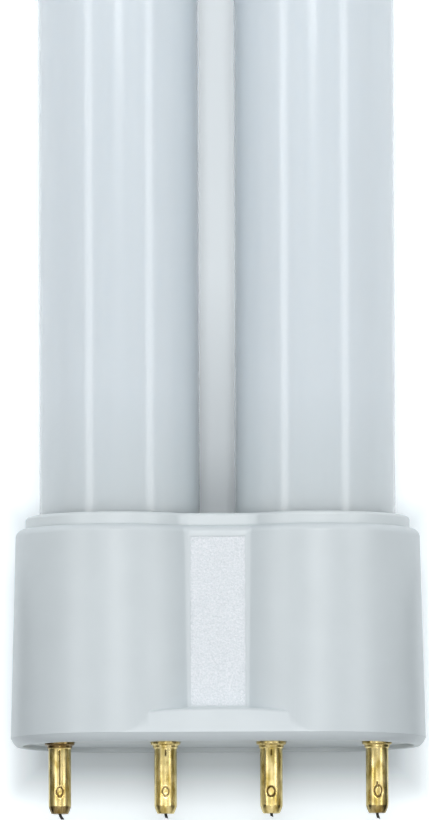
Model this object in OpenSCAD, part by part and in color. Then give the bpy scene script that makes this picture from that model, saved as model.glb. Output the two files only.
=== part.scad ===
// Long twin tube fluorescent lamp with four contact pins in line. All sizes are in millimetres.
// X runs across the two tubes, Y from the pins towards the joined tube ends, and Z up from the broad side.
// The origin is the centre of the flat rim round the pin face, which is the foot of the cap.

/* [Glass tubes] */
// Outside diameter of each tube
tube_d = 16.7; // [15.6:0.1:17.4]
// Space between the two tubes
tube_gap = 3.7; // [3.2:0.1:4.4]
// From the foot of the cap to the tips of the tubes
lamp_length = 217; // [120:1:540]
// Radius of the rounded corner at the tips of the tubes
tube_tip_r = 6.2; // [4:0.1:7.2]
// Outside diameter of the bridge that joins the tubes
bridge_d = 8.4; // [6:0.1:10]
// How much wider the bridge gets on each side where it runs into a tube
bridge_flare = 0.9; // [0.4:0.1:1.2]
// From the tips of the tubes back to the centre line of the bridge
bridge_setback = 11; // [10:0.5:20]
// From the foot of the cap to the sealed lower ends of the tubes
tube_foot_y = 7.2; // [6.8:0.1:9]
// Radius of the rounded corner at the sealed lower ends
tube_foot_r = 2.6; // [1.5:0.1:3.5]
// Diameter of the closed glass nipple at each lower end
nipple_d = 4; // [3:0.1:4.6]
// How far the nipple stands out of the lower end
nipple_len = 3; // [2:0.1:3.6]

/* [Cap] */
// Height of the cap from its foot to its shoulder
cap_h = 22.6; // [21:0.1:27]
// Thickness of the cap over its waist, at the shoulder
waist_t = 15.2; // [14:0.1:15.8]
// Radius of the inside corner between the waist and each lobe, at the shoulder
waist_fillet_r = 1.2; // [0.9:0.1:2]
// How far the cap grows outwards on every side from the shoulder down to the foot
cap_draft = 0.55; // [0:0.05:0.6]
// How far the centre of each lobe lies outside the centre line of its tube
lobe_shift = 0.35; // [0.1:0.05:0.6]
// Wall of the cap around the collar
rim_wall = 0.95; // [0.9:0.05:1.4]
// Rounding of the shoulder
shoulder_r = 0.85; // [0.4:0.05:0.85]
// Rounding of the foot
foot_r = 0.85; // [0.4:0.05:1]
// Width of the rim round the pin face, with the rounding
foot_rim = 1.3; // [1.1:0.05:1.8]
// How deep the pin face lies inside the rim
face_depth = 0.45; // [0.1:0.05:0.6]
// Thickness of the floor that carries the pins
floor_t = 1.8; // [1.4:0.1:2.2]
// Wall of the cap at the waist
waist_wall = 1.9; // [1.4:0.1:2.4]
// Height of the lip that fills the waist at the foot
lip_h = 3.35; // [2.4:0.05:4.5]
// Thickness of the cap over the upper edges of the two lips, which slope outwards to the foot
lip_t = 21.1; // [18:0.1:21.5]
// Rounding of the upper edge of the lip
lip_r = 0.45; // [0.2:0.05:0.8]
// Width of the textured field on the waist
field_w = 5.7; // [3:0.1:5.8]
// Depth of the textured field
field_depth = 0.08; // [0.05:0.01:0.2]
// Plain strip between the lip and the textured field
field_low_gap = 0.4; // [0.2:0.1:3]
// Plain strip between the textured field and the shoulder
field_high_gap = 1.2; // [1:0.1:6]

/* [Collar] */
// Wall of the collar over the top of each tube
collar_wall = 1; // [0.8:0.05:1.6]
// How far the collar stands out of the shoulder
collar_step = 1.3; // [0.8:0.1:3]
// How far the collar reaches down into the cap
collar_depth = 5.6; // [3:0.1:7]
// Rounding of the upper edge of the collar
collar_r = 0.4; // [0.2:0.05:0.6]
// Space between the collar and the cap
collar_clear = 0.1; // [0.05:0.01:0.2]
// Space between each tube and the collar
tube_clear = 0.1; // [0.05:0.01:0.2]

/* [Cement] */
// Thickness of the cement around each tube
cement_t = 0.5; // [0.3:0.05:0.8]
// Height of the cement below the collar
cement_h = 5; // [2:0.1:5.4]
// Space left on each side of the cement
cement_clear = 0.03; // [0.02:0.01:0.06]

/* [Contact pins] */
// Distance between the centre lines of neighbouring pins
pin_pitch = 11; // [10.6:0.1:11.4]
// Diameter of each pin
pin_d = 2.35; // [2.2:0.05:2.6]
// How far each pin stands out beyond the foot of the cap
pin_len = 7; // [5.5:0.1:9]
// Wall of the hollow pin
pin_wall = 0.5; // [0.4:0.05:0.6]
// Space between each pin and its hole in the cap
pin_clear = 0.03; // [0.02:0.01:0.06]
// How far the flange and the inner head reach out beyond the pin
flange_lip = 0.38; // [0.25:0.01:0.5]
// How far the flange stands out of the pin face
flange_t = 0.3; // [0.2:0.05:0.5]
// Depth of the ring seat in the pin face under the flange
seat_depth = 0.1; // [0.05:0.05:0.3]
// Space around the flange in its ring seat
seat_clear = 0.12; // [0.05:0.01:0.3]
// Thickness of the inner head
head_t = 0.35; // [0.2:0.05:0.5]
// Length of the flared neck under the flange
neck_len = 0.45; // [0.1:0.05:0.6]
// How far the neck reaches out beyond the pin
neck_lip = 0.16; // [0.05:0.01:0.2]
// Length of the bevelled nose
nose_len = 0.55; // [0.3:0.05:0.9]
// How far the nose narrows on each side
nose_bevel = 0.27; // [0.1:0.01:0.35]
// Solid length at the nose, in front of the bore
nose_t = 1.1; // [0.8:0.1:1.6]
// Diameter of the ring that the crimping punch leaves
crimp_d = 0.95; // [0.6:0.05:1.1]
// Width of the punched line of that ring
crimp_line = 0.17; // [0.1:0.01:0.24]
// Depth of the punched line
crimp_depth = 0.12; // [0.05:0.01:0.2]
// From the foot of the cap to the centre of the punched ring
crimp_y = 4.7; // [2:0.1:5]

/* [Lead wires] */
// Diameter of each lead wire
wire_d = 0.36; // [0.25:0.01:0.5]
// Space around the wire in the nose of its pin
wire_clear = 0.04; // [0.03:0.01:0.08]
// How far the wire stands out of the nose
wire_out = 0.6; // [0.2:0.1:1]
// How far the cut end of the wire leans to one side
wire_lean = 0.14; // [0:0.01:0.2]
// Where the wire leaves the tube, as a share of the way from the tube's centre line to the pin
wire_root = 0.6; // [0.58:0.01:0.8]
// Least space between the nipple and the wire beside it
wire_gap = 0.3; // [0.2:0.05:0.5]

/* [Hidden] */
$fn = 72;
PINS = [1, 2, 3, 4];

// Small overlap that lets a cut run clear of the surface it starts from
cut = 1;
// Steps along each lobe, along each inside corner and over each rounded edge
lobe_steps = 26;
fillet_steps = 5;
edge_steps = 6;
revolve_steps = 18;
wire_steps = 12;
wire_sides = 8;

tube_r = tube_d / 2;
tube_x = (tube_d + tube_gap) / 2;
pin_r = pin_d / 2;
wire_r = wire_d / 2;

// The outline of the cap at its shoulder: two lobes and a flat waist with rounded inside corners.
// Every other outline is this one moved in or out by an even distance.
collar_lobe_r = tube_r + tube_clear + collar_wall;
lobe_r = collar_lobe_r + collar_clear + rim_wall;
lobe_x = tube_x + lobe_shift;
waist_z = waist_t / 2;
corner_x = lobe_x - sqrt(pow(lobe_r + waist_fillet_r, 2) - pow(waist_z + waist_fillet_r, 2));
corner_z = waist_z + waist_fillet_r;
lobe_end = atan2(corner_z, corner_x - lobe_x);

collar_offset = -(rim_wall + collar_clear);
mouth_offset = -rim_wall;
shoulder_round = min(shoulder_r, rim_wall - 0.05);
collar_bottom_y = cap_h - collar_depth;
collar_top_y = cap_h + collar_step;

cavity_r = tube_r + cement_t + 2 * cement_clear;
channel_z = waist_z - waist_wall;
lip_z = lip_t / 2;
lip_foot_z = lobe_r + cap_draft;
field_slope = atan(cap_draft / (cap_h - shoulder_round - foot_r));
floor_top_y = face_depth + floor_t;
head_top_y = floor_top_y + head_t;
flange_low_y = face_depth - flange_t;

function pin_x(i) = (i - 2.5) * pin_pitch;
function pin_side(i) = i < 2.5 ? -1 : 1;

// Points on an arc about [x, y], in steps from one angle to the other
function arc(x, y, r, from, to, steps) =
    [for (i = [0:steps]) let (a = from + (to - from) * i / steps) [x + r * cos(a), y + r * sin(a)]];

// All but the first of a list, for arcs that start where the last one ended
function rest(list) = [for (i = [1:len(list) - 1]) list[i]];

// One quarter of the outline, from the side of the lobe to the flat of the waist
function quarter(grow) =
    concat(
        arc(lobe_x, 0, lobe_r + grow, 0, lobe_end, lobe_steps),
        rest(arc(corner_x, corner_z, waist_fillet_r - grow, lobe_end - 180, -90, fillet_steps))
    );

// The whole outline, anticlockwise, moved outwards by an even distance
function outline(grow) =
    let (q = quarter(grow), last = len(q) - 1)
    concat(
        q,
        [for (i = [last:-1:0]) [-q[i][0], q[i][1]]],
        [for (i = [1:last]) [-q[i][0], -q[i][1]]],
        [for (i = [last:-1:1]) [q[i][0], -q[i][1]]]
    );

// A solid through a stack of outlines, each given as [height along Y, distance outwards]
module outline_stack(levels) {
    rings = [for (l = levels) [for (p = outline(l[1])) [p[0], l[0], p[1]]]];
    n = len(rings[0]);
    top = len(levels) - 1;
    points = concat(
        [for (r = rings) each r],
        [[0, levels[0][0], 0], [0, levels[top][0], 0]]
    );
    sides = [
        for (k = [0:top - 1]) for (i = [0:n - 1])
            let (a = k * n + i, b = k * n + (i + 1) % n)
                each [[a, b, b + n], [a, b + n, a + n]]
    ];
    low_end = [for (i = [0:n - 1]) [(i + 1) % n, i, (top + 1) * n]];
    high_end = [for (i = [0:n - 1]) [top * n + i, top * n + (i + 1) % n, (top + 1) * n + 1]];
    polyhedron(points, concat(sides, low_end, high_end), convexity = 6);
}

// Levels over a rounded edge that turns inwards at the top
function edge_over(y, grow, r) =
    [for (i = [0:edge_steps]) let (a = 90 * i / edge_steps) [y - r + r * sin(a), grow - r + r * cos(a)]];

// Levels over a rounded edge that turns outwards from the bottom
function edge_under(y, grow, r) =
    [for (i = [0:edge_steps]) let (a = 90 - 90 * i / edge_steps) [y + r - r * sin(a), grow - r + r * cos(a)]];

// Turns a revolved or extruded shape from the Z axis to the Y axis
module along_y() {
    rotate([-90, 0, 0]) children();
}

// A cylinder along Y between two heights
module post(x, d, from, to) {
    translate([x, from, 0]) along_y() cylinder(d = d, h = to - from);
}

// One straight tube, closed and rounded at its tip, with its sealed lower end and nipple
module glass_limb() {
    nipple_r = nipple_d / 2;
    nipple_tip = tube_foot_y - nipple_len;
    along_y() rotate_extrude() polygon(concat(
        [[0, nipple_tip]],
        rest(arc(0, nipple_tip + nipple_r, nipple_r, -90, 0, revolve_steps)),
        [[nipple_r, tube_foot_y]],
        arc(tube_r - tube_foot_r, tube_foot_y + tube_foot_r, tube_foot_r, -90, 0, revolve_steps),
        arc(tube_r - tube_tip_r, lamp_length - tube_tip_r, tube_tip_r, 0, 90, revolve_steps),
        [[0, lamp_length]]
    ));
}

// The short glass bridge, a little wider where it runs into each tube
module glass_bridge() {
    half = tube_gap / 2;
    flare = [
        for (i = [-revolve_steps:revolve_steps])
            let (x = i / revolve_steps)
                [bridge_d / 2 + bridge_flare * pow(x, 2), x * (half + bridge_flare)]
    ];
    reach = tube_x - tube_r / 2;
    translate([0, lamp_length - bridge_setback, 0]) rotate([0, 90, 0]) rotate_extrude() polygon(concat(
        [[0, -reach], [bridge_d / 2 + bridge_flare, -reach]],
        flare,
        [[bridge_d / 2 + bridge_flare, reach], [0, reach]]
    ));
}

// Both tubes and their bridge are one sealed piece of glass
module discharge_tube() {
    color("whitesmoke") union() {
        translate([-tube_x, 0, 0]) glass_limb();
        translate([tube_x, 0, 0]) glass_limb();
        glass_bridge();
    }
}

// The lips at the foot, on both broad sides of the cap: flush with the lobes at the foot, and sloping inwards
module lip() {
    foot_centre = [foot_r, lip_foot_z - foot_r];
    edge_centre = [lip_h - lip_r, lip_z - lip_r];
    way = edge_centre - foot_centre;
    slope = acos((foot_r - lip_r) / norm(way)) + atan2(way[1], way[0]);
    rotate([90, 0, 90]) linear_extrude(2 * lobe_x, center = true) polygon(concat(
        arc(foot_centre[0], foot_centre[1], foot_r, 180, slope, edge_steps),
        arc(edge_centre[0], edge_centre[1], lip_r, slope, 0, edge_steps),
        arc(edge_centre[0], -edge_centre[1], lip_r, 0, -slope, edge_steps),
        arc(foot_centre[0], -foot_centre[1], foot_r, -slope, -180, edge_steps)
    ));
}

// The shallow field on one side of the waist, cut square to the drafted face
module field_cut() {
    low = lip_h + field_low_gap;
    translate([0, cap_h - shoulder_round, waist_z]) rotate([-field_slope, 0, 0])
        translate([-field_w / 2, low - cap_h + shoulder_round, -field_depth])
            cube([field_w, cap_h - field_high_gap - low, cut]);
}

// Room for the tubes, the cement and the wires, also above each pin for its head
module cap_cavity() {
    for (s = [-1, 1])
        post(s * tube_x, 2 * cavity_r, floor_top_y, collar_bottom_y + cut);
    translate([-tube_x, floor_top_y, -channel_z])
        cube([2 * tube_x, collar_bottom_y + cut - floor_top_y, 2 * channel_z]);
    for (i = PINS)
        post(pin_x(i), pin_d + 2 * (flange_lip + seat_clear), floor_top_y, tube_foot_y);
}

// The mouth that takes the collar, with a ledge at its foot
module cap_mouth() {
    translate([0, cap_h + cut, 0]) rotate([90, 0, 0])
        linear_extrude(cap_h + cut - collar_bottom_y) polygon(outline(mouth_offset));
}

// The pin face, sunk inside the rim of the foot
module face_recess() {
    face_r = lip_foot_z - foot_rim;
    translate([0, face_depth, 0]) rotate([90, 0, 0]) linear_extrude(face_depth + cut) {
        for (s = [-1, 1])
            translate([s * lobe_x, 0]) circle(face_r);
        square([2 * lobe_x, 2 * face_r], center = true);
    }
}

// The hole for a pin and the ring seat for its flange
module pin_hole(x) {
    post(x, pin_d + 2 * pin_clear, 0, floor_top_y + cut);
    post(x, pin_d + 2 * (flange_lip + seat_clear), 0, face_depth + seat_depth);
}

module cap_shell() {
    color("aliceblue") difference() {
        union() {
            outline_stack(concat(
                edge_under(0, cap_draft, foot_r),
                edge_over(cap_h, 0, shoulder_round)
            ));
            lip();
        }
        cap_cavity();
        cap_mouth();
        field_cut();
        mirror([0, 0, 1]) field_cut();
        face_recess();
        for (i = PINS) pin_hole(pin_x(i));
    }
}

// The collar that plugs the mouth of the cap and holds both tubes
module tube_collar() {
    color("ghostwhite") difference() {
        outline_stack(concat(
            [[collar_bottom_y, collar_offset]],
            edge_over(collar_top_y, collar_offset, collar_r)
        ));
        for (s = [-1, 1])
            post(s * tube_x, tube_d + 2 * tube_clear, collar_bottom_y - cut, collar_top_y + cut);
    }
}

// The ring of cement between one tube and the cap
module cement(side) {
    top = collar_bottom_y - cement_clear;
    color("lightgray") difference() {
        post(side * tube_x, 2 * (cavity_r - cement_clear), top - cement_h, top);
        post(side * tube_x, 2 * (tube_r + cement_clear), top - cement_h - cut, top + cut);
    }
}

// The ring that the crimping punch leaves on one side of a pin
module crimp_mark() {
    translate([0, -crimp_y, pin_r - crimp_depth]) difference() {
        cylinder(d = crimp_d, h = cut);
        translate([0, 0, -cut]) cylinder(d = crimp_d - 2 * crimp_line, h = 3 * cut);
    }
}

// A hollow pin: an inner head, a shank through the floor, a flange, a flared neck and a bevelled nose
module contact_pin(i) {
    wide_r = pin_r + flange_lip;
    bore_r = pin_r - pin_wall;
    eye_r = wire_r + wire_clear;
    color("goldenrod") translate([pin_x(i), 0, 0]) difference() {
        along_y() rotate_extrude() polygon([
            [eye_r, -pin_len],
            [pin_r - nose_bevel, -pin_len],
            [pin_r, nose_len - pin_len],
            [pin_r, flange_low_y - neck_len],
            [pin_r + neck_lip, flange_low_y],
            [wide_r, flange_low_y],
            [wide_r, face_depth + seat_depth],
            [pin_r, face_depth + seat_depth],
            [pin_r, floor_top_y],
            [wide_r, floor_top_y],
            [wide_r, head_top_y],
            [bore_r, head_top_y],
            [bore_r, nose_t - pin_len],
            [eye_r, nose_t - pin_len]
        ]);
        crimp_mark();
        mirror([0, 0, 1]) crimp_mark();
    }
}

// The route of a lead wire in the XY plane, from the tube down through the nose of its pin
function wire_route(i) =
    let (
        beside = pin_x(i) - pin_side(i) * tube_x,
        away = max(wire_root * abs(beside), nipple_d / 2 + wire_gap + wire_r),
        from_x = pin_side(i) * tube_x + sign(beside) * away,
        bend_top = tube_foot_y - wire_d,
        bend_foot = head_top_y + wire_d
    )
    concat(
        [[from_x, tube_foot_y]],
        [
            for (k = [0:wire_steps])
                let (t = k / wire_steps)
                    [
                        from_x + (pin_x(i) - from_x) * t * t * (3 - 2 * t),
                        bend_top + (bend_foot - bend_top) * t
                    ]
        ],
        [[pin_x(i), 0], [pin_x(i), -pin_len]],
        [for (t = [0.25:0.25:1]) [pin_x(i) + wire_lean * t * t, -pin_len - wire_out * t]]
    );

// A round wire swept along a route in the XY plane
module wire(route) {
    last = len(route) - 1;
    rings = [
        for (k = [0:last])
            let (
                d = route[min(k + 1, last)] - route[max(k - 1, 0)],
                across = [-d[1], d[0]] / norm(d)
            )
                for (s = [0:wire_sides - 1])
                    let (a = 360 * s / wire_sides)
                        [
                            route[k][0] + wire_r * cos(a) * across[0],
                            route[k][1] + wire_r * cos(a) * across[1],
                            wire_r * sin(a)
                        ]
    ];
    sides = [
        for (k = [0:last - 1]) for (s = [0:wire_sides - 1])
            let (a = k * wire_sides + s, b = k * wire_sides + (s + 1) % wire_sides)
                each [[a, b, b + wire_sides], [a, b + wire_sides, a + wire_sides]]
    ];
    low_end = [[for (s = [wire_sides - 1:-1:0]) s]];
    high_end = [[for (s = [0:wire_sides - 1]) last * wire_sides + s]];
    polyhedron(rings, concat(sides, low_end, high_end));
}

module lead_wire(i) {
    color("dimgray") wire(wire_route(i));
}

discharge_tube();
cap_shell();
tube_collar();
cement(-1);  // cement_left
cement(1);  // cement_right
for (i = PINS) {
    contact_pin(i);
    lead_wire(i);
}
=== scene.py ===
"""Four pin compact fluorescent lamp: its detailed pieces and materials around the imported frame, with the
floor, the lights and the camera. Sizes are in millimetres until a mesh is made, which scales them to metres.
X runs across the two tubes, Y from the pins to the joined tube ends, Z up from the side that the lamp lies on."""

import math
from collections import namedtuple

import bpy
import numpy as np
from mathutils import Matrix, Vector, noise

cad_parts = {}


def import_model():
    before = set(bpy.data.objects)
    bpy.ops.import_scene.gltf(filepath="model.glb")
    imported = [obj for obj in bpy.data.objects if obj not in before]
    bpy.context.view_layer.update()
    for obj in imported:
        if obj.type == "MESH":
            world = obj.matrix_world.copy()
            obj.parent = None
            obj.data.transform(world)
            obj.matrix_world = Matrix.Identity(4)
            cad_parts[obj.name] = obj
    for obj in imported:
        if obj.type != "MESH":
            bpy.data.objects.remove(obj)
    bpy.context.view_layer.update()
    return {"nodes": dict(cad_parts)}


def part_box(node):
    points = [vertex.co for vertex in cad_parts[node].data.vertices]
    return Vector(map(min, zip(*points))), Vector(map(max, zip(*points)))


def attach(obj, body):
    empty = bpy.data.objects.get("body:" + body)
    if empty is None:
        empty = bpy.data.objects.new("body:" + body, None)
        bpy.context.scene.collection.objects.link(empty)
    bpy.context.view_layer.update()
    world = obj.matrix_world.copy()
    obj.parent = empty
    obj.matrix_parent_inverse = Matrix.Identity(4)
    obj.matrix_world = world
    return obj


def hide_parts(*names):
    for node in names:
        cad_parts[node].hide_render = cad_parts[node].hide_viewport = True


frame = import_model()

MM = 0.001


def box_mm(node):
    """Lowest and highest corner of a CAD node in millimetres, to a hundredth."""
    return [Vector([round(v / MM, 2) for v in corner]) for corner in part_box(node)]


# Sizes that the frame gives
GLASS_LOW, GLASS_HIGH = box_mm("discharge_tube")
CAP_LOW, CAP_HIGH = box_mm("cap_shell")
COLLAR_LOW, COLLAR_HIGH = box_mm("tube_collar")
TUBE_R = GLASS_HIGH.z
TUBE_X = GLASS_HIGH.x - TUBE_R
LAMP_LENGTH = GLASS_HIGH.y
NIPPLE_TIP_Y = GLASS_LOW.y
CAP_H = CAP_HIGH.y
LOBE_X = CAP_HIGH.x - CAP_HIGH.z
COLLAR_GROW = COLLAR_HIGH.z - CAP_HIGH.z

# Glass
TIP_R = 6.2
FOOT_Y = 7.2
FOOT_R = 2.6
NIPPLE_R = 2
BRIDGE_R = 4.2
BRIDGE_SETBACK = 11
BRIDGE_FILLET = 1.5
BRIDGE_ROOT = 0.6

# Cap, as outlines moved outwards from the one at the foot
CAP_DRAFT = 0.55
WAIST_Z = 7.6
WAIST_FILLET = 1.2
EDGE_R = 0.85
RIM_WALL = 0.95
FOOT_TOP = 0.82
FOOT_STEP = 0.05
FOOT_TURN = (18, 52)
FOOT_CORNER_R = 0.15
FOOT_RIM = 1.3
RIM_EDGE = 0.1
FACE_DEPTH = 0.45
FLOOR_TOP = 2.25
CHANNEL_Z = 5.7
CEMENT_ROOM = 0.56
LIP_H = 3.45
LIP_ARCH = 0.0056
LIP_Z = 10.55
LIP_R = 0.45
LIP_STEPS = 24
FIELD_W = 5.7
FIELD_LOW = 3.75
FIELD_HIGH = 21.4
FIELD_DEPTH = 0.08
FIELD_PITCH = 0.085
FIELD_GRAIN = 0.035
COLLAR_R = 0.4
TUBE_CLEAR = 0.1

# Contact pins
PIN_R = 1.175
PIN_CLEAR = 0.03
FLANGE_T = 0.3
SEAT_DEPTH = 0.1
SEAT_CLEAR = 0.12
NECK_LEN = 0.45
NECK_LIP = 0.13
NECK_FILLET = 0.16
NECK_RING = 0.15
NOSE_LEN = 0.8
NOSE_BEVEL = 0.27
NOSE_SOLID = 1.1
PIN_WALL = 0.5
EYE_R = 0.22
RING_Y = -4.75
RING_LINE = 0.09
# Width of the painted dark reflection of the camera along each pin's top
REFLECTION_LINE = 0.08

# Lead wires
WIRE_R = 0.15

# One entry a pin, from the left: where the dark line along its top shows, which is a painted reflection of the camera,
# its punched ring's size, place to one side, depth and darkness, how dark its brass is, how much painted shade darkens
# its flange, how dark its nose is, and how far the cut wire stands out and leans
PinLook = namedtuple(
    "PinLook",
    "seam_from seam_to ring_w ring_h ring_x ring_depth ring_dark brass_dark flange_dark nose_dark wire_out wire_lean",
)
PIN_LOOKS = [
    PinLook(-0.4, -4.1, 0.72, 0.98, 0, 0.07, 1.0, 0.12, 0.85, 0.85, 0.57, 0.3),
    PinLook(-0.35, -1.0, 0.74, 0.95, 0, 0.07, 0.85, 0, 0.2, 0.25, 0.45, 0.1),
    PinLook(-0.35, -1.0, 0.9, 1.0, 0.03, 0.12, 1.0, 0.04, 0.3, 0.2, 0.32, 0.04),
    PinLook(-3.7, -4.1, 0.86, 1.14, -0.1, 0.09, 0.95, 0.06, 0.3, 0.7, 0.55, 0.14),
]

# Steps round the tubes, along the outlines and over the rounded edges
TUBE_STEPS = 144
LOBE_STEPS = 60
FILLET_STEPS = 12
EDGE_STEPS = 10
SMOOTH_ANGLE = math.radians(32)


def arc(x, y, r, start, end, steps):
    """Points on an arc about (x, y), between two angles in degrees."""
    angles = [math.radians(start + (end - start) * i / steps) for i in range(steps + 1)]
    return [(x + r * math.cos(a), y + r * math.sin(a)) for a in angles]


def outline(grow):
    """The cap's outline in X and Z, moved outwards by grow from the one at its foot."""
    lobe_r = CAP_HIGH.z + grow
    flat_z = WAIST_Z + CAP_DRAFT + grow
    fillet = WAIST_FILLET - CAP_DRAFT - grow
    corner_z = flat_z + fillet
    corner_x = LOBE_X - math.sqrt((lobe_r + fillet) ** 2 - corner_z ** 2)
    lobe_end = math.degrees(math.atan2(corner_z, corner_x - LOBE_X))
    quarter = arc(LOBE_X, 0, lobe_r, 0, lobe_end, LOBE_STEPS)
    quarter += arc(corner_x, corner_z, fillet, lobe_end - 180, -90, FILLET_STEPS)[1:]
    half = quarter + [(-x, z) for x, z in reversed(quarter)]
    return half + [(x, -z) for x, z in reversed(half[1:-1])]


def new_object(name, mesh):
    piece = bpy.data.objects.new(name, mesh)
    bpy.context.scene.collection.objects.link(piece)
    return piece


def ring_mesh(name, rings):
    """A closed solid through rings of points that run round it the same way, with a fan over each end."""
    count = len(rings[0])
    points = [p for ring in rings for p in ring]
    faces = []
    for k in range(len(rings) - 1):
        for i in range(count):
            a, b = k * count + i, k * count + (i + 1) % count
            faces.append((a, b, b + count, a + count))
    last = (len(rings) - 1) * count
    for first, flip in ((0, True), (last, False)):
        middle = len(points)
        points.append(tuple(np.mean(rings[first // count], axis=0)))
        for i in range(count):
            a, b = first + i, first + (i + 1) % count
            faces.append((b, a, middle) if flip else (a, b, middle))
    mesh = bpy.data.meshes.new(name)
    mesh.from_pydata([tuple(p) for p in points], [], faces)
    return new_object(name, mesh)


def outline_stack(name, levels):
    """A solid through a stack of outlines, each given as (height along Y, distance outwards)."""
    rings = [[(x, y, z) for x, z in outline(grow)] for y, grow in levels]
    return ring_mesh(name, rings)


def revolve(name, profile, centre_x, steps):
    """A solid of revolution about a line along Y, from (radius, height) points with no end on the line."""
    turns = [2 * math.pi * i / steps for i in range(steps)]
    rings = [[(centre_x + r * math.cos(a), y, r * math.sin(a)) for a in turns] for r, y in profile]
    return ring_mesh(name, rings)


def block(name, low, high):
    """A plain box for cutting."""
    rings = []
    for y in (low[1], high[1]):
        rings.append([(low[0], y, low[2]), (low[0], y, high[2]), (high[0], y, high[2]), (high[0], y, low[2])])
    return ring_mesh(name, rings)


def edge_over(y, grow, r):
    """Levels over a rounded edge that turns inwards at the top."""
    return [(b, a) for a, b in arc(grow - r, y - r, r, 0, 90, EDGE_STEPS)]


def foot_edge():
    """The edge of the foot as (height, distance outwards), from the flat rim to the wall: a small corner, a slow
    curve, and the fine step where the foot meets the wall."""
    low, high = (math.radians(a) for a in reversed(FOOT_TURN))
    curve_r = (FOOT_TOP - FOOT_CORNER_R * (1 - math.sin(low))) / (math.sin(low) - math.sin(high))
    centre_y = FOOT_TOP + curve_r * math.sin(high)
    centre_out = -FOOT_STEP - curve_r * math.cos(high)
    corner_out = centre_out + (curve_r - FOOT_CORNER_R) * math.cos(low)
    corner = arc(corner_out, FOOT_CORNER_R, FOOT_CORNER_R, -90, -FOOT_TURN[1], 4)
    curve = arc(centre_out, centre_y, curve_r, -FOOT_TURN[1], -FOOT_TURN[0], EDGE_STEPS)
    return [(y, out) for out, y in corner + curve[1:]] + [(FOOT_TOP + 0.02, 0)]


def face_outwards(piece):
    """Turns every face of a closed mesh outwards."""
    bpy.context.view_layer.objects.active = piece
    bpy.ops.object.mode_set(mode="EDIT")
    bpy.ops.mesh.select_all(action="SELECT")
    bpy.ops.mesh.normals_make_consistent(inside=False)
    bpy.ops.object.mode_set(mode="OBJECT")


def combine(piece, others, operation):
    """Joins or cuts solids with exact booleans, and removes what was used."""
    for other in [piece] + others:
        face_outwards(other)
    for other in others:
        modifier = piece.modifiers.new("solid", "BOOLEAN")
        modifier.operation = operation
        modifier.solver = "EXACT"
        modifier.object = other
    seen = piece.evaluated_get(bpy.context.evaluated_depsgraph_get())
    mesh = bpy.data.meshes.new_from_object(seen)
    piece.modifiers.clear()
    piece.data = mesh
    for other in others:
        bpy.data.objects.remove(other)
    return piece


def even_normals(piece):
    """Weights the smooth normals by the faces' areas, so that rounded edges leave the flats beside them flat."""
    modifier = piece.modifiers.new("even", "WEIGHTED_NORMAL")
    modifier.keep_sharp = True
    seen = piece.evaluated_get(bpy.context.evaluated_depsgraph_get())
    mesh = bpy.data.meshes.new_from_object(seen)
    piece.modifiers.clear()
    piece.data = mesh


def finish_piece(piece, nodes, material):
    """Scales a mesh to metres, smooths it, gives it its material and body, and hides the CAD nodes that it stands for.
    """
    piece.data.transform(Matrix.Scale(MM, 4))
    piece.data.polygons.foreach_set("use_smooth", [True] * len(piece.data.polygons))
    piece.data.set_sharp_from_angle(angle=SMOOTH_ANGLE)
    even_normals(piece)
    piece.data.materials.clear()
    piece.data.materials.append(material)
    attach(piece, "root")
    if nodes:
        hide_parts(*nodes)
    return piece


def glass_limb(name, side):
    """One tube, with its rounded tip, its sealed lower end and the closed nipple there."""
    shoulder = TUBE_R - FOOT_R
    profile = arc(0, NIPPLE_TIP_Y + NIPPLE_R, NIPPLE_R, -88, 0, 16)
    profile += arc(NIPPLE_R + 0.3, FOOT_Y - 0.3, 0.3, 180, 90, 5)
    profile += arc(shoulder, FOOT_Y + FOOT_R, FOOT_R, -90, 0, 16)
    profile += arc(TUBE_R - TIP_R, LAMP_LENGTH - TIP_R, TIP_R, 0, 90, 28)
    profile.append((0.5, LAMP_LENGTH))
    return revolve(name, profile, side * TUBE_X, TUBE_STEPS)


def bridge_profile(turn):
    """Half of the bridge's wall at one angle round it: a straight run and a fillet that ends flush in the tube.
    Each point is (x, distance along the turn's direction, share of that distance left in Z)."""
    reach = BRIDGE_R + BRIDGE_FILLET
    far = TUBE_R + BRIDGE_FILLET
    height = reach * math.sin(turn)
    centre_x = TUBE_X - math.sqrt(far ** 2 - height ** 2)
    centre = Vector((centre_x, reach * math.cos(turn), height))
    to_wall = Vector((0, -math.cos(turn), -math.sin(turn)))
    to_tube = Vector((TUBE_X - centre_x, 0, -height)).normalized()
    angle = to_wall.angle(to_tube)
    points = []
    for i in range(EDGE_STEPS + 1):
        part = i / EDGE_STEPS
        direction = (to_wall * math.sin((1 - part) * angle) + to_tube * math.sin(part * angle)) / math.sin(angle)
        points.append(centre + direction * BRIDGE_FILLET)
    points.append(points[-1] + to_tube * BRIDGE_ROOT)
    return points


def glass_bridge():
    """The short fused bridge near the tips, flowing into both tubes."""
    turns = [2 * math.pi * i / TUBE_STEPS for i in range(TUBE_STEPS)]
    sides = [bridge_profile(t) for t in turns]
    count = len(sides[0])
    y = LAMP_LENGTH - BRIDGE_SETBACK
    rings = []
    for sign in (-1, 1):
        order = range(count - 1, -1, -1) if sign < 0 else range(count)
        for k in order:
            rings.append([(sign * side[k].x, y + side[k].y, side[k].z) for side in sides])
    return ring_mesh("bridge", rings)


def glass_tubes(material):
    left, right = glass_limb("glass_tubes", -1), glass_limb("right", 1)
    combine(left, [right, glass_bridge()], "UNION")
    return finish_piece(left, ["discharge_tube"], material)


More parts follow.
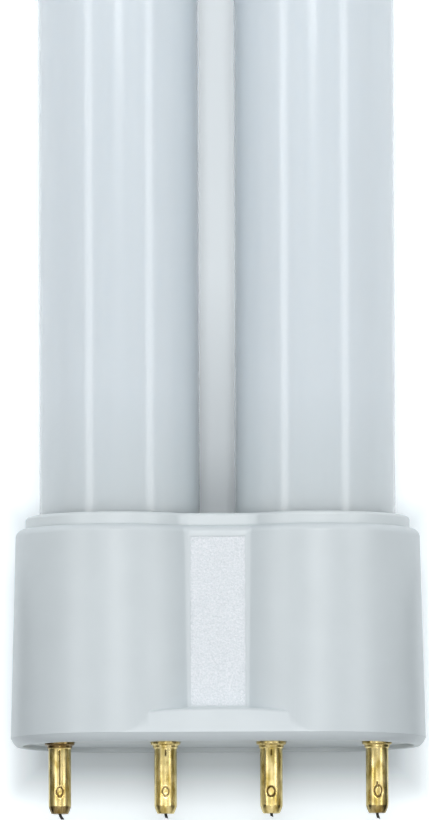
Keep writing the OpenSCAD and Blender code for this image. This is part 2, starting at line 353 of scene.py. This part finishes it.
def lip_section(height):
    """The lips in Y and Z where their upper edges lie at a height: flush with the lobes at the foot, sloping in."""
    foot_z = CAP_HIGH.z
    section = [(y, foot_z + out) for y, out in foot_edge()]
    slope = math.degrees(math.atan2(foot_z - LIP_Z, height - LIP_R - section[-1][0]))
    section += arc(height - LIP_R, LIP_Z - LIP_R, LIP_R, 90 - slope, 0, EDGE_STEPS)
    return section + [(y, -z) for y, z in reversed(section)]


def lip():
    """The lips at the foot, on both broad sides of the cap, with their upper edges a little higher in the middle."""
    rings = []
    for k in range(-LIP_STEPS, LIP_STEPS + 1):
        x = LOBE_X * k / LIP_STEPS
        rings.append([(x, y, z) for y, z in lip_section(LIP_H - LIP_ARCH * x ** 2)])
    return ring_mesh("lip", rings)


def wall_grow(y):
    """How far the drafted wall lies outside the outline at the foot, at a height: never more than 0."""
    return -CAP_DRAFT * (y - EDGE_R) / (CAP_H - 2 * EDGE_R)


def wall_z(y):
    """Height of the flat of the waist."""
    return WAIST_Z + CAP_DRAFT + wall_grow(y)


def face_outline(grow):
    """The outline of the sunk pin face in X and Z: two half circles and straight sides."""
    r = CAP_HIGH.z - FOOT_RIM + grow
    return arc(LOBE_X, 0, r, -90, 90, LOBE_STEPS) + arc(-LOBE_X, 0, r, 90, 270, LOBE_STEPS)


def face_recess():
    """The room in front of the pin face, with a softened edge to the rim round it."""
    levels = [(-1, RIM_EDGE), (0, RIM_EDGE), (RIM_EDGE / 2, RIM_EDGE / 4), (RIM_EDGE, 0), (FACE_DEPTH, 0)]
    rings = [[(x, y, z) for x, z in face_outline(grow)] for y, grow in levels]
    return ring_mesh("face", rings)


def field_recess(side):
    """The shallow recess of the textured field, on one broad side."""
    corners = []
    for y in (FIELD_LOW, FIELD_HIGH):
        low, high = side * (wall_z(y) - 1.6 * FIELD_DEPTH), side * (wall_z(y) + 1)
        half = FIELD_W / 2
        corners.append([(-half, y, low), (half, y, low), (half, y, high), (-half, y, high)])
    return ring_mesh("recess", corners)


def cap_cuts():
    """Everything that is cut out of the cap: its mouth, its cavity and channel, the pin holes and the seats."""
    bottom = COLLAR_LOW.y
    cuts = [outline_stack("mouth", [(bottom, -CAP_DRAFT - RIM_WALL), (CAP_H + 1, -CAP_DRAFT - RIM_WALL)])]
    cuts.append(face_recess())
    for side in (-1, 1):
        cavity_r = TUBE_R + CEMENT_ROOM
        room = [(cavity_r, FLOOR_TOP), (cavity_r, bottom + 1)]
        cuts.append(revolve("cavity", room, side * TUBE_X, TUBE_STEPS))
        cuts.append(field_recess(side))
    cuts.append(block("channel", (-TUBE_X, FLOOR_TOP, -CHANNEL_Z), (TUBE_X, bottom + 1, CHANNEL_Z)))
    for number in range(1, 5):
        x = pin_x(number)
        flange_r = box_mm(f"contact_pin_{number}")[1].z
        hole = [(PIN_R + PIN_CLEAR, -1), (PIN_R + PIN_CLEAR, FLOOR_TOP + 1)]
        seat = [(flange_r + SEAT_CLEAR, -1), (flange_r + SEAT_CLEAR, FACE_DEPTH + SEAT_DEPTH)]
        cuts += [revolve("hole", hole, x, 48), revolve("seat", seat, x, 72)]
    return cuts


def cap_shell(material):
    levels = foot_edge() + edge_over(CAP_H, -CAP_DRAFT, EDGE_R)
    body = outline_stack("cap_shell_moulded", levels)
    combine(body, [lip()], "UNION")
    combine(body, cap_cuts(), "DIFFERENCE")
    return finish_piece(body, ["cap_shell"], material)


def grain_height(x, y, side):
    """The eroded texture of the field at a point, from -1 to 1: small pits and peaks of two sizes."""
    coarse = noise.noise(Vector((x * 3.4, y * 3.4, 20 * side)))
    fine = noise.noise(Vector((x * 7.5, y * 7.5, 50 + 20 * side)))
    return 0.6 * coarse + 0.55 * fine


def waist_field(number, side, material):
    """The textured floor of one field, as a slab with its grain in the mesh. It lies in the recess."""
    inset = 0.01
    wide, tall = FIELD_W - 2 * inset, FIELD_HIGH - FIELD_LOW - 2 * inset
    columns, rows = round(wide / FIELD_PITCH), round(tall / FIELD_PITCH)
    points, faces = [], []
    for r in range(rows + 1):
        y = FIELD_LOW + inset + tall * r / rows
        for c in range(columns + 1):
            x = -wide / 2 + wide * c / columns
            depth = FIELD_DEPTH - FIELD_GRAIN * grain_height(x, y, side)
            points.append((x, y, side * (wall_z(y) - depth)))
    for r in range(rows):
        for c in range(columns):
            a = r * (columns + 1) + c
            quad = (a, a + 1, a + columns + 2, a + columns + 1)
            faces.append(quad if side > 0 else quad[::-1])
    edge = list(range(columns + 1))
    edge += [r * (columns + 1) + columns for r in range(1, rows + 1)]
    edge += [rows * (columns + 1) + c for c in range(columns - 1, -1, -1)]
    edge += [r * (columns + 1) for r in range(rows - 1, 0, -1)]
    first = len(points)
    for index in edge:
        x, y, _ = points[index]
        points.append((x, y, side * (wall_z(y) - 1.6 * FIELD_DEPTH)))
    for k, index in enumerate(edge):
        following = (k + 1) % len(edge)
        quad = (index, first + k, first + following, edge[following])
        faces.append(quad if side > 0 else quad[::-1])
    base = tuple(range(first, first + len(edge)))
    faces.append(base[::-1] if side > 0 else base)
    mesh = bpy.data.meshes.new(f"waist_field_{number}")
    mesh.from_pydata(points, [], faces)
    return finish_piece(new_object(mesh.name, mesh), [], material)


def tube_collar(material):
    levels = [(COLLAR_LOW.y, COLLAR_GROW)] + edge_over(COLLAR_HIGH.y, COLLAR_GROW, COLLAR_R)
    body = outline_stack("tube_collar_moulded", levels)
    bore_r = TUBE_R + TUBE_CLEAR
    bore = [(bore_r, COLLAR_LOW.y - 1), (bore_r, COLLAR_HIGH.y + 1)]
    combine(body, [revolve("bore", bore, side * TUBE_X, TUBE_STEPS) for side in (-1, 1)], "DIFFERENCE")
    return finish_piece(body, ["tube_collar"], material)


def pin_x(number):
    low, high = box_mm(f"contact_pin_{number}")
    return round((low.x + high.x) / 2, 2)


def pin_angles():
    """Angles round a pin in degrees: close together about its top and bottom, where its marks are."""
    half = [90 + 36 * k / 26 for k in range(-26, 27)]
    half += [126 + 108 * k / 16 for k in range(1, 16)]
    return half + [a + 180 for a in half]


def pin_profile(number):
    """The outside and inside of a pin as (radius, height) points, from the rim of its head to its nose and back."""
    low, high = box_mm(f"contact_pin_{number}")
    wide_r = high.z
    nose_y = round(-PIN_LENGTH, 2)
    round_r = 0.12
    flange_y = FACE_DEPTH - FLANGE_T
    seat_y = FACE_DEPTH + SEAT_DEPTH
    points = [(PIN_R - PIN_WALL, high.y), (wide_r - 0.05, high.y), (wide_r, high.y - 0.05)]
    points += [(wide_r, FLOOR_TOP), (PIN_R, FLOOR_TOP), (PIN_R, seat_y), (wide_r, seat_y)]
    points += arc(wide_r - round_r, flange_y + round_r, round_r, 0, -90, 5)
    points += arc(PIN_R + NECK_LIP + NECK_FILLET, flange_y - NECK_FILLET, NECK_FILLET, 90, 180, 5)
    ring_low = flange_y - NECK_FILLET - NECK_RING
    points += [(PIN_R + NECK_LIP, ring_low + 0.05), (PIN_R + NECK_LIP - 0.03, ring_low)]
    taper = NECK_LEN - NECK_FILLET - NECK_RING
    points += [(PIN_R + (NECK_LIP - 0.03) * (1 - k / 4) ** 2, ring_low - taper * k / 4) for k in range(1, 5)]
    shank_top = points[-1][1]
    shank_end = nose_y + NOSE_LEN
    rows = round((shank_top - shank_end) / 0.055)
    points += [(PIN_R, shank_top + (shank_end - shank_top) * k / rows) for k in range(1, rows + 1)]
    bevel = 10
    for k in range(1, bevel + 1):
        part = k / bevel
        points.append((PIN_R - NOSE_BEVEL * part ** 1.35, shank_end - (NOSE_LEN - 0.04) * part))
    points += [(PIN_R - NOSE_BEVEL - 0.04, nose_y), (EYE_R, nose_y)]
    points += [(EYE_R, nose_y + NOSE_SOLID), (PIN_R - PIN_WALL, nose_y + NOSE_SOLID)]
    return points, shank_top, shank_end


PIN_LENGTH = 7


def ease(value, low, high):
    """0 below low, 1 above high, and a smooth rise between them."""
    part = min(1, max(0, (value - low) / (high - low)))
    return part * part * (3 - 2 * part)


def pin_mark(look, across, y, upper):
    """How deep a point of the shank lies and how dark it is, from the punched ring, and from a shallow groove along the
    top with a painted dark reflection of the camera in it.
    """
    wobble = 0.018 * noise.noise(Vector((across * 3, y * 3, look.ring_h * 40)))
    stretch = look.ring_w / look.ring_h
    away = math.hypot(across - look.ring_x, (y - RING_Y) * stretch) - look.ring_w / 2 + wobble
    ring = math.exp(-(away / RING_LINE) ** 2)
    dish = ease(-away, 0, 0.3)
    depth = look.ring_depth * ring + 0.03 * dish
    dark = look.ring_dark * ring
    if upper:
        # Painted reflection: a dark line along the top of the pin, where the camera shows in the brass, over a shallow
        # groove.
        along = ease(y, look.seam_to - 0.08, look.seam_to + 0.08) * (1 - ease(y, look.seam_from - 0.08, look.seam_from))
        line = math.exp(-((across + 0.4 * wobble) / REFLECTION_LINE) ** 2) * along
        depth += 0.09 * line
        dark = max(dark, 0.9 * line)
    return depth, dark


def contact_pin(number, material):
    """A hollow pin with a rolled flange and a flared neck, a groove along its top, its punched rings and its bevelled
    nose, with painted shade on the flange and neck and a painted dark reflection along the groove.
    """
    look = PIN_LOOKS[number - 1]
    profile, shank_top, shank_end = pin_profile(number)
    x = pin_x(number)
    angles = pin_angles()
    rings, marks = [], []
    for r, y in profile:
        ring = []
        outside = r > PIN_R - 0.001 and shank_end <= y <= FACE_DEPTH - FLANGE_T
        for angle in angles:
            depth, dark = 0, look.brass_dark
            if outside:
                upper = angle < 180
                across = math.radians(angle - (90 if upper else 270)) * PIN_R
                depth, mark = pin_mark(look, across, y, upper)
                dark = max(dark, mark)
            if y < FACE_DEPTH:
                # Painted shade on the flange and the flare of the neck, where they sit sunk in the pin face.
                dark = max(dark, look.flange_dark * ease(r, PIN_R + 0.01, PIN_R + NECK_LIP))
            if r < PIN_R and y < shank_end:
                striation = 0.5 + 0.5 * noise.noise(Vector((angle * 0.35, y * 0.8, number * 7)))
                dark = look.nose_dark * (0.55 + 0.6 * striation)
                depth = 0.02 * striation if r > EYE_R + 0.1 else 0
            turn = math.radians(angle)
            ring.append((x + (r - depth) * math.cos(turn), y, (r - depth) * math.sin(turn)))
            marks.append(dark)
        rings.append(ring)
    rings.append(rings[0])
    marks += marks[:len(angles)]
    pin = pin_mesh(f"contact_pin_{number}_turned", rings)
    # Darkness of each point: patina in the rings and the nose, painted shade on the flange, and a painted dark
    # reflection along the top.
    tarnish_and_painted_shade = pin.data.attributes.new("tarnish_and_painted_shade", "FLOAT", "POINT")
    tarnish_and_painted_shade.data.foreach_set("value", marks[:len(pin.data.vertices)])
    return finish_piece(pin, [f"contact_pin_{number}"], material)


def pin_mesh(name, rings):
    """A closed hollow solid: the last ring is the first one."""
    count = len(rings[0])
    turns = len(rings) - 1
    points = [p for ring in rings[:-1] for p in ring]
    faces = []
    for k in range(turns):
        for i in range(count):
            a, b = k * count + i, k * count + (i + 1) % count
            c, d = (k + 1) % turns * count + (i + 1) % count, (k + 1) % turns * count + i
            faces.append((a, b, c, d))
    mesh = bpy.data.meshes.new(name)
    mesh.from_pydata(points, [], faces)
    return new_object(name, mesh)


def wire_route(number):
    """The wire's route in X and Y: from its tube through its pin and out of the nose."""
    low, high = box_mm(f"lead_wire_{number}")
    x = pin_x(number)
    look = PIN_LOOKS[number - 1]
    from_x = (high.x - WIRE_R) if abs(high.x - x) > abs(low.x - x) else (low.x + WIRE_R)
    top, head_y = FOOT_Y - 2 * WIRE_R, box_mm(f"contact_pin_{number}")[1].y + 2 * WIRE_R
    route = [(from_x, FOOT_Y)]
    for k in range(17):
        t = k / 16
        route.append((from_x + (x - from_x) * t * t * (3 - 2 * t), top + (head_y - top) * t))
    route += [(x, 0), (x, -PIN_LENGTH + 0.1)]
    for k in range(1, 9):
        t = k / 8
        route.append((x + look.wire_lean * t ** 1.5, -PIN_LENGTH - look.wire_out * t))
    return route


def lead_wire(number, material):
    """A round wire swept along its route, with a slanted cut at its outer end."""
    route = [Vector((x, y, 0)) for x, y in wire_route(number)]
    last = len(route) - 1
    sides = 16
    rings = []
    for k, point in enumerate(route):
        along = (route[min(k + 1, last)] - route[max(k - 1, 0)]).normalized()
        across = Vector((-along.y, along.x, 0))
        ring = []
        for s in range(sides):
            a = 2 * math.pi * s / sides
            spot = point + WIRE_R * (math.cos(a) * across + math.sin(a) * Vector((0, 0, 1)))
            if k == last:
                spot += along * WIRE_R * 0.8 * math.cos(a)
            ring.append(tuple(spot))
        rings.append(ring)
    wire = ring_mesh(f"lead_wire_{number}_cut", rings)
    return finish_piece(wire, [f"lead_wire_{number}"], material)


class Nodes:
    """One material, built in short calls."""

    def __init__(self, name):
        self.material = bpy.data.materials.new(name)
        self.material.use_nodes = True
        self.tree = self.material.node_tree
        self.shader = self.tree.nodes["Principled BSDF"]

    def add(self, kind, settings=None, **inputs):
        """Adds a node. An input is a number, a colour or another node's output, and its name has _ for a space."""
        made = self.tree.nodes.new("ShaderNode" + kind)
        for key, value in (settings or {}).items():
            setattr(made, key, value)
        for key, value in inputs.items():
            self.put(made.inputs[int(key[1:]) if key[1:].isdigit() else key.replace("_", " ")], value)
        return made

    def put(self, socket, value):
        if isinstance(value, bpy.types.NodeSocket):
            self.tree.links.new(value, socket)
        else:
            socket.default_value = value

    def set(self, **inputs):
        """Sets or links the shader's own inputs."""
        for key, value in inputs.items():
            self.put(self.shader.inputs[key.replace("_", " ")], value)

    def place(self, stretch=(1, 1, 1)):
        """Object coordinates in metres, stretched."""
        coordinates = self.add("TexCoord").outputs["Object"]
        return self.add("Mapping", Vector=coordinates, Scale=stretch).outputs["Vector"]

    def noise(self, scale, detail=2.0, stretch=(1, 1, 1)):
        made = self.add("TexNoise", Vector=self.place(stretch), Scale=scale, Detail=detail)
        return made.outputs["Fac"]

    def spread(self, value, from_low, from_high, to_low, to_high):
        """Maps a value from one range to another, and keeps it there."""
        made = self.add("MapRange", {"clamp": True}, Value=value)
        for key, number in zip(("From Min", "From Max", "To Min", "To Max"), (from_low, from_high, to_low, to_high)):
            made.inputs[key].default_value = number
        return made.outputs["Result"]

    def math(self, operation, a, b):
        return self.add("Math", {"operation": operation}, _0=a, _1=b).outputs[0]

    def blend(self, part, a, b):
        """A colour between a and b."""
        made = self.add("Mix", {"data_type": "RGBA"})
        self.put(made.inputs["Factor"], part)
        self.put(made.inputs[6], a)
        self.put(made.inputs[7], b)
        return made.outputs[2]

    def bump(self, height, strength, distance, normal=None):
        made = self.add("Bump", Height=height, Strength=strength, Distance=distance)
        if normal is not None:
            self.put(made.inputs["Normal"], normal)
        return made.outputs["Normal"]


def rgb(r, g, b):
    return (r, g, b, 1)


def along_y(m):
    """The height along Y in metres."""
    return m.add("SeparateXYZ", Vector=m.place()).outputs["Y"]


def white_glass():
    """Glossy clear glass over a milky coat, which thins and greys towards the sealed ends in the cap; painted shade
    darkens the coat further along the lower part of the tubes, towards the cap.
    """
    m = Nodes("white_glass")
    height = along_y(m)
    near_cap = m.spread(height, 0.0225, 0.037, 1.0, 0.0)
    # Painted shade: the coat darkens over the lower part of the tubes, towards the cap.
    lower = m.spread(height, 0.03, 0.085, 1.0, 0.0)
    streaks = m.spread(m.noise(260, 3, (1, 0.04, 1)), 0.3, 0.7, 0.0, 1.0)
    coat = m.blend(streaks, rgb(0.655, 0.712, 0.755), rgb(0.685, 0.742, 0.785))
    coat = m.blend(m.math("MULTIPLY", lower, 0.7), coat, rgb(0.6, 0.65, 0.684))
    coat = m.blend(m.math("MULTIPLY", near_cap, 0.6), coat, rgb(0.5, 0.55, 0.563))
    wave = m.noise(60, 1, (1, 0.15, 1))
    m.set(Base_Color=coat, Roughness=0.13, IOR=1.5, Normal=m.bump(wave, 0.12, 0.0006))
    m.set(Subsurface_Weight=1.0, Subsurface_Radius=(1, 1, 1), Subsurface_Scale=0.008)
    return m.material


def moulded(name, colour, low_rough, high_rough):
    """Satin moulded plastic: faintly mottled, with slow waves and a fine grain."""
    m = Nodes(name)
    mottle = m.spread(m.noise(220, 4), 0.3, 0.7, 0.0, 1.0)
    dark = tuple(c * 0.965 for c in colour)
    m.set(Base_Color=m.blend(mottle, rgb(*dark), rgb(*colour)))
    m.set(Roughness=m.spread(m.noise(900, 3), 0.3, 0.7, low_rough, high_rough))
    waves = m.bump(m.noise(110, 2, (1, 0.35, 1)), 0.35, 0.0005)
    m.set(Normal=m.bump(m.noise(5200, 2), 0.08, 0.00006, waves))
    m.shader.inputs["Specular IOR Level"].default_value = 0.8
    return m.material


def field_plastic():
    """The eroded field: livelier than the smooth plastic round it, and painted paler to stand in for the sheen that its
    grain catches.
    """
    m = Nodes("field_plastic")
    speck = m.spread(m.noise(5500, 2), 0.42, 0.68, 0.0, 1.0)
    # Painted sheen: the field's colour is paler than the plastic round it, standing in for the light that its grain
    # catches.
    m.set(Base_Color=m.blend(speck, rgb(0.61, 0.655, 0.69), rgb(0.72, 0.745, 0.785)))
    m.set(Roughness=m.spread(m.noise(4000, 2), 0.3, 0.7, 0.22, 0.42))
    m.set(Normal=m.bump(m.noise(7000, 2), 0.6, 0.00008))
    m.shader.inputs["Specular IOR Level"].default_value = 0.6
    return m.material


def pin_brass():
    """Polished brass with fine lengthwise scratches and brown patina in its punched rings and noses; the same darkness
    also carries painted shade on the flanges and a painted dark reflection along the pins' tops.
    """
    m = Nodes("pin_brass")
    # Darkness from the mesh: patina, with painted shade on the flanges and a painted dark reflection along the tops.
    dark = m.add("Attribute", {"attribute_name": "tarnish_and_painted_shade"}).outputs["Fac"]
    stain = m.spread(m.noise(1500, 4, (1, 0.5, 1)), 0.4, 0.68, 0.0, 1.0)
    clean = m.blend(stain, rgb(0.8, 0.66, 0.31), rgb(0.42, 0.31, 0.08))
    m.set(Base_Color=m.blend(dark, clean, rgb(0.08, 0.038, 0.012)))
    scratches = m.noise(3000, 3, (1, 0.12, 1))
    m.set(Metallic=1.0, Roughness=m.spread(scratches, 0.3, 0.75, 0.2, 0.42))
    m.set(Normal=m.bump(scratches, 0.4, 0.00003))
    return m.material


def wire_metal():
    """Dull dark wire with drawn lines along it."""
    m = Nodes("wire_metal")
    tone = m.spread(m.noise(4000, 3), 0.35, 0.7, 0.0, 1.0)
    m.set(Base_Color=m.blend(tone, rgb(0.008, 0.008, 0.008), rgb(0.03, 0.026, 0.022)))
    m.set(Metallic=0.3, Roughness=0.6)
    return m.material


def cement():
    """Dry, gritty lamp cement."""
    m = Nodes("cement")
    grit = m.noise(2500, 6)
    m.set(Base_Color=m.blend(grit, rgb(0.5, 0.48, 0.44), rgb(0.78, 0.76, 0.72)))
    m.set(Roughness=0.9, Normal=m.bump(grit, 0.5, 0.0002))
    return m.material


def shown_white(tree, shader):
    """Mixes white with a shader for the rays that see the background: from the camera, in gloss and through glass."""
    path = tree.nodes.new("ShaderNodeLightPath")
    total = path.outputs["Is Camera Ray"]
    for name in ("Is Glossy Ray", "Is Transmission Ray"):
        add = tree.nodes.new("ShaderNodeMath")
        add.operation = "MAXIMUM"
        tree.links.new(total, add.inputs[0])
        tree.links.new(path.outputs[name], add.inputs[1])
        total = add.outputs[0]
    mix = tree.nodes.new("ShaderNodeMixShader")
    tree.links.new(total, mix.inputs["Fac"])
    tree.links.new(shader, mix.inputs[1])
    return mix


FLOOR_GLOW = 0.44
FLOOR_SHADE = (0.83, 0.885, 0.915)
FLOOR_SIZE = 12.0


def floor_glow(m):
    """How strongly the floor glows at a point: less where the lamp shades it, which is below the foot of the cap,
    close to the cap's sides and between the tubes."""
    spot = m.add("SeparateXYZ", Vector=m.place()).outputs
    away = m.math("ABSOLUTE", spot["X"], 0)
    beside_tubes = m.spread(away, 0.0165, 0.0185, 0, 1)
    beyond_cap = m.spread(spot["Y"], 0.022, 0.027, 0, 1)
    glow = m.math("MULTIPLY", beside_tubes, beyond_cap)
    beside_cap = m.spread(away, 0.0185, 0.023, 0, 1)
    slot = m.spread(spot["Y"], 0.018, 0.05, 0, 0.7)
    below = m.spread(spot["Y"], -0.0013, -0.0056, 0, 1)
    for part in (beside_cap, slot, below):
        glow = m.math("MAXIMUM", glow, part)
    return m.math("MULTIPLY", glow, FLOOR_GLOW)


def floor_material():
    """A pale floor that shows white where it is lit, and keeps the object's shadow."""
    m = Nodes("floor")
    m.set(Base_Color=rgb(0.8, 0.81, 0.82), Roughness=0.9)
    m.shader.inputs["Specular IOR Level"].default_value = 0.0
    glow = m.add("Emission", Color=rgb(0.94, 0.98, 1), Strength=floor_glow(m))
    white = m.add("BsdfDiffuse", Color=rgb(*FLOOR_SHADE))
    both = m.add("AddShader", _0=glow.outputs[0], _1=white.outputs[0])
    mix = shown_white(m.tree, m.shader.outputs[0])
    m.tree.links.new(both.outputs[0], mix.inputs[2])
    m.tree.links.new(mix.outputs[0], m.tree.nodes["Material Output"].inputs["Surface"])
    return m.material


def floor():
    """The floor that the foot of the cap and the tips of the tubes lie on."""
    rest_y, rest_z = EDGE_R * MM, CAP_LOW.z * MM
    tip_y, tip_z = (LAMP_LENGTH - TIP_R) * MM, -TUBE_R * MM
    slope = math.atan2(tip_z - rest_z, tip_y - rest_y)
    half = FLOOR_SIZE / 2
    corners = []
    for x, along in ((-half, -half), (half, -half), (half, half), (-half, half)):
        corners.append((x, rest_y + along * math.cos(slope), rest_z + along * math.sin(slope)))
    mesh = bpy.data.meshes.new("floor")
    mesh.from_pydata(corners, [], [(0, 1, 2, 3)])
    mesh.materials.append(floor_material())
    new_object("floor", mesh)


WORLD_LOW = 0.25
WORLD_HIGH = 0.57


def world():
    """A light tent: soft light from all round, brighter from beyond the tubes than from behind the pins."""
    made = bpy.data.worlds.new("tent")
    made.use_nodes = True
    tree = made.node_tree
    bpy.context.scene.world = made
    light = tree.nodes["Background"]
    direction = tree.nodes.new("ShaderNodeTexCoord").outputs["Generated"]
    split = tree.nodes.new("ShaderNodeSeparateXYZ")
    tree.links.new(direction, split.inputs[0])
    ramp = tree.nodes.new("ShaderNodeMapRange")
    tree.links.new(split.outputs["Y"], ramp.inputs["Value"])
    for key, number in zip(("From Min", "From Max", "To Min", "To Max"), (-0.9, 0.5, WORLD_LOW, WORLD_HIGH)):
        ramp.inputs[key].default_value = number
    tree.links.new(ramp.outputs["Result"], light.inputs["Strength"])
    light.inputs["Color"].default_value = rgb(0.97, 0.99, 1)
    white = tree.nodes.new("ShaderNodeBackground")
    white.inputs["Color"].default_value = rgb(1, 1, 1)
    white.inputs["Strength"].default_value = 1.0
    mix = shown_white(tree, light.outputs[0])
    tree.links.new(white.outputs[0], mix.inputs[2])
    tree.links.new(mix.outputs[0], tree.nodes["World Output"].inputs["Surface"])


def softbox(name, place, target, size, radiance):
    """A rectangular lamp of an even brightness, which faces its target."""
    data = bpy.data.lights.new(name, "AREA")
    data.shape = "RECTANGLE"
    data.size, data.size_y = size
    data.energy = radiance * math.pi * size[0] * size[1]
    lamp = bpy.data.objects.new(name, data)
    bpy.context.scene.collection.objects.link(lamp)
    lamp.location = place
    lamp.rotation_mode = "QUATERNION"
    lamp.rotation_quaternion = (Vector(place) - Vector(target)).to_track_quat("Z", "Y")
    lamp.visible_camera = False
    return lamp


STRIP_ANGLE = math.radians(44)
STRIP_AWAY = 0.6
STRIP_Y = 0.38
OVERHEAD_Z = 0.62
FLAG_NEAR = 0.035
FLAG_X = 0.28
FLAG_H = 0.2
FLAG_Y = (-0.15, 0.02)


def lights():
    """Two long strips beside the camera, and two narrow boxes overhead, clear of the line that the glass mirrors."""
    for side, name in ((-1, "strip_left"), (1, "strip_right")):
        place = (side * STRIP_AWAY * math.sin(STRIP_ANGLE), STRIP_Y, STRIP_AWAY * math.cos(STRIP_ANGLE))
        softbox(name, place, (0, STRIP_Y, 0), (1.0, 0.12), 3.1)
    softbox("box_far", (0, 0.225, OVERHEAD_Z), (0, 0.03, 0), (0.13, 0.15), 17.0)
    softbox("box_near", (0, -0.17, OVERHEAD_Z), (0, 0.03, 0), (0.13, 0.2), 5.2)


def flags():
    """Black boards low on both sides that draw dark lines along the glass and the brass, and shade nothing."""
    m = Nodes("flag")
    m.set(Base_Color=rgb(0.01, 0.01, 0.01), Roughness=1.0)
    m.shader.inputs["Specular IOR Level"].default_value = 0.0
    low = CAP_LOW.z * MM + 0.0005
    for side, name in ((-1, "flag_left"), (1, "flag_right")):
        corners = []
        for x, z in ((FLAG_NEAR, low), (FLAG_X, low), (FLAG_X, FLAG_H)):
            corners += [(side * x, y, z) for y in FLAG_Y]
        mesh = bpy.data.meshes.new(name)
        mesh.from_pydata(corners, [], [(0, 1, 3, 2), (2, 3, 5, 4)])
        mesh.materials.append(m.material)
        board = new_object(name, mesh)
        board.visible_camera = False
        board.visible_diffuse = False
        board.visible_shadow = False


CAMERA_AWAY = 2.0
CAMERA_TILT = math.radians(4.5)
CAMERA_ROLL = math.radians(-0.2)
AIM = (-0.00028, 0.0351, 0)
FRAME_HEIGHT = 820 / 9.6 * MM
SENSOR = 36.0


def camera():
    """The photograph's view: from above the lamp's broad side, a little from behind the pins."""
    data = bpy.data.cameras.new("camera")
    data.sensor_width = SENSOR
    data.lens = SENSOR * CAMERA_AWAY / FRAME_HEIGHT
    data.clip_start, data.clip_end = 0.05, 100
    made = bpy.data.objects.new("camera", data)
    bpy.context.scene.collection.objects.link(made)
    back = Vector((0, -math.sin(CAMERA_TILT), math.cos(CAMERA_TILT)))
    made.location = Vector(AIM) + back * CAMERA_AWAY
    tilt = Matrix.Rotation(CAMERA_TILT, 4, "X")
    roll = Matrix.Rotation(CAMERA_ROLL, 4, "Z")
    made.rotation_euler = (tilt @ roll).to_euler()
    bpy.context.scene.camera = made


def lamp():
    plastic = moulded("cap_plastic", (0.545, 0.597, 0.622), 0.34, 0.44)
    glass_tubes(white_glass())
    cap_shell(plastic)
    tube_collar(moulded("collar_plastic", (0.58, 0.63, 0.65), 0.34, 0.44))
    textured = field_plastic()
    waist_field(1, 1, textured)
    waist_field(2, -1, textured)
    brass, dark_wire = pin_brass(), wire_metal()
    for number in range(1, 5):
        contact_pin(number, brass)
        lead_wire(number, dark_wire)
    dry = cement()
    for name in ("cement_left", "cement_right"):
        frame["nodes"][name].data.materials.clear()
        frame["nodes"][name].data.materials.append(dry)


lamp()
floor()
world()
lights()
flags()
camera()
bpy.context.scene.view_settings.view_transform = "Standard"
